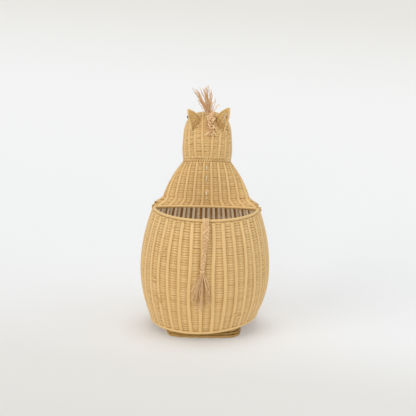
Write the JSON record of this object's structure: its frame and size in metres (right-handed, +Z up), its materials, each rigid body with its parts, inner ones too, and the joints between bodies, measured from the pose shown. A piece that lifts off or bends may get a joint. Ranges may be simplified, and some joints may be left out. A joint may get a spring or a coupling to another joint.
{
  "type": "horse-shaped basket",
  "caption": "Woven rattan storage basket in the shape of a standing horse's body, neck and head, open at the back, with ears, raffia mane and hanging raffia tail.",
  "frame": {"origin": "centre of the foot's flat underside, on the floor, below the axis of the round body", "axes": "+Z up, +Y to the horse's nose, +X to the horse's right side"},
  "size_m": [0.2538, 0.3393, 0.4712],
  "materials": {
    "rattan_weave": "woven flat rattan strips, natural light tan, lightly varnished",
    "rattan_cane": "smooth peeled rattan cane, pale honey, satin",
    "rattan_foot": "woven rattan, a darker honey brown, matt",
    "raffia": "split raffia fibre, pinkish tan, dry and matt",
    "bead": "glossy black bead"
  },
  "bodies": {
    "basket": {"foot_band": "rattan_foot", "foot_mat": "rattan_foot", "base_mat": "rattan_weave", "base_border": "rattan_cane", "body_wall": "rattan_weave", "stake_01": "rattan_cane", "stake_02": "rattan_cane", "stake_03": "rattan_cane", "stake_04": "rattan_cane", "stake_05": "rattan_cane", "stake_06": "rattan_cane", "stake_07": "rattan_cane", "stake_08": "rattan_cane", "stake_09": "rattan_cane", "stake_10": "rattan_cane", "stake_11": "rattan_cane", "stake_12": "rattan_cane", "stake_13": "rattan_cane", "stake_14": "rattan_cane", "stake_15": "rattan_cane", "stake_16": "rattan_cane", "stake_17": "rattan_cane", "stake_18": "rattan_cane", "stake_19": "rattan_cane", "stake_20": "rattan_cane", "stake_21": "rattan_cane", "stake_22": "rattan_cane", "stake_23": "rattan_cane", "stake_24": "rattan_cane", "stake_25": "rattan_cane", "stake_26": "rattan_cane", "stake_27": "rattan_cane", "stake_28": "rattan_cane", "stake_29": "rattan_cane", "stake_30": "rattan_cane", "stake_31": "rattan_cane", "stake_32": "rattan_cane", "stake_33": "rattan_cane", "stake_34": "rattan_cane", "rim_hoop": "rattan_cane", "neck_wall": "rattan_weave", "neck_collar": "rattan_cane", "head_wall": "rattan_weave", "muzzle_cap": "rattan_weave", "ear_leaf_right": "rattan_weave", "ear_leaf_left": "rattan_weave", "ear_rim_right": "rattan_cane", "ear_rim_left": "rattan_cane", "eye_right": "bead", "eye_left": "bead", "mane_knot_1": "raffia", "mane_knot_2": "raffia", "mane_knot_3": "raffia", "mane_knot_4": "raffia", "mane_tuft": "raffia", "crest_lacing": "raffia"},
    "tail_head": {"tail_loop": "raffia"},
    "tail": {"tail_braid": "raffia", "tail_binding": "raffia", "tail_tassel": "raffia"}
  },
  "joints": [
    {"name": "tail_lift", "type": "hinge", "parent": "basket", "child": "tail_head", "pos_m": [0, -0.1032, 0.2404], "axis": [-1, 0, 0], "range_deg": [0, 120]},
    {"name": "tail_sway", "type": "hinge", "parent": "tail_head", "child": "tail", "pos_m": [0.0022, -0.1134, 0.2275], "axis": [0, 1, 0], "range_deg": [-25, 25]}
  ]
}
